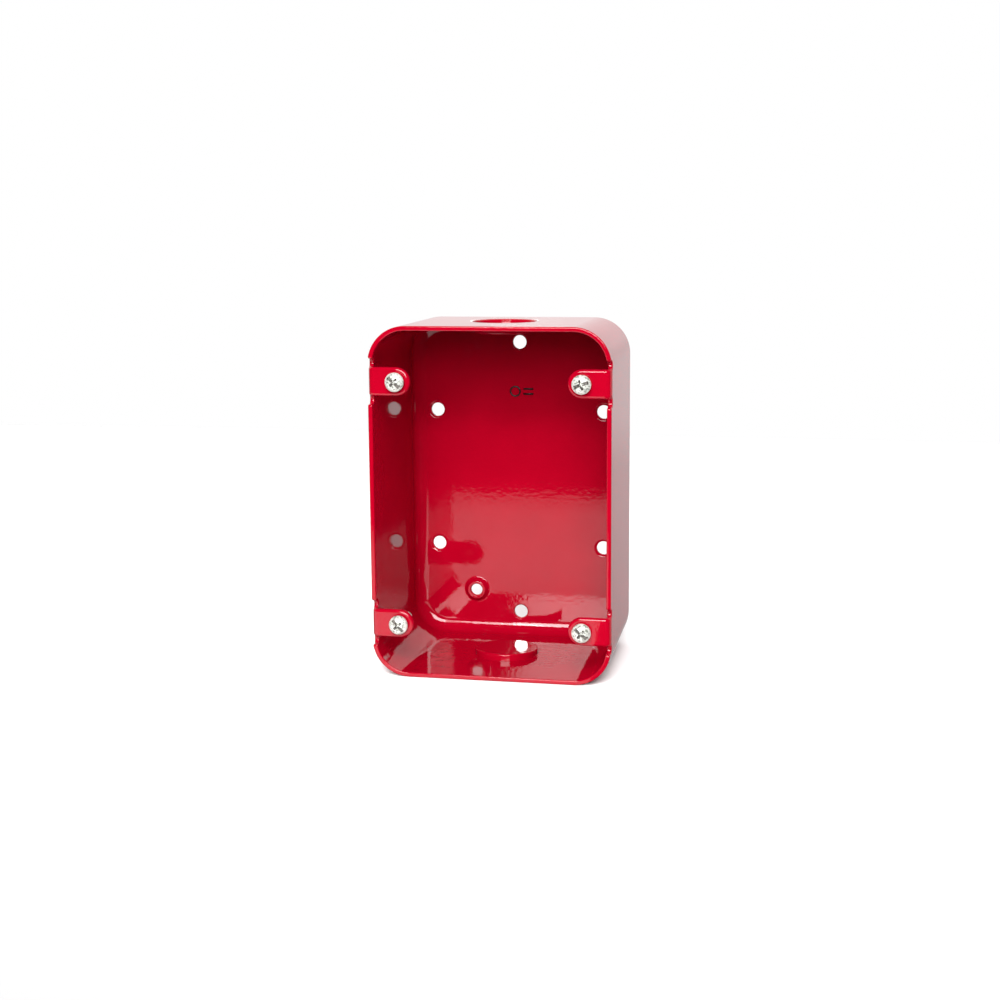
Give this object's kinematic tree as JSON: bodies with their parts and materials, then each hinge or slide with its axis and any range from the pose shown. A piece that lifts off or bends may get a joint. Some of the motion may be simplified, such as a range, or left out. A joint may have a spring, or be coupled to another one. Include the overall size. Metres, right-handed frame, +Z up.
{
  "type": "surface back box",
  "caption": "Open drawn-steel surface back box for a wall-mounted alarm appliance, red gloss paint, bent-in tabs with cover screws, conduit knockouts",
  "frame": {"origin": "centre of the rear mounting face, which lies against the wall", "axes": "+Y into the wall, so the open mouth faces -Y; +Z up; +X to the right for someone who faces the mouth"},
  "size_m": [0.0826, 0.0637, 0.1206],
  "materials": {
    "red_paint": "high gloss baked enamel on 1.6 mm steel sheet",
    "bright_zinc": "bright zinc-plated steel"
  },
  "bodies": {
    "box": {"box_shell": "red_paint", "knockout_top": "red_paint", "knockout_bottom": "red_paint"},
    "screw_top_left": {"cover_screw_top_left": "bright_zinc"},
    "screw_top_right": {"cover_screw_top_right": "bright_zinc"},
    "screw_bottom_left": {"cover_screw_bottom_left": "bright_zinc"},
    "screw_bottom_right": {"cover_screw_bottom_right": "bright_zinc"}
  },
  "joints": [
    {"name": "unscrew_top_left", "type": "slide", "parent": "box", "child": "screw_top_left", "axis": [0, -1, 0], "range_m": [-0.0011, 0.012]},
    {"name": "unscrew_top_right", "type": "slide", "parent": "box", "child": "screw_top_right", "axis": [0, -1, 0], "range_m": [-0.0011, 0.012]},
    {"name": "unscrew_bottom_left", "type": "slide", "parent": "box", "child": "screw_bottom_left", "axis": [0, -1, 0], "range_m": [-0.0011, 0.012]},
    {"name": "unscrew_bottom_right", "type": "slide", "parent": "box", "child": "screw_bottom_right", "axis": [0, -1, 0], "range_m": [-0.0011, 0.012]}
  ]
}
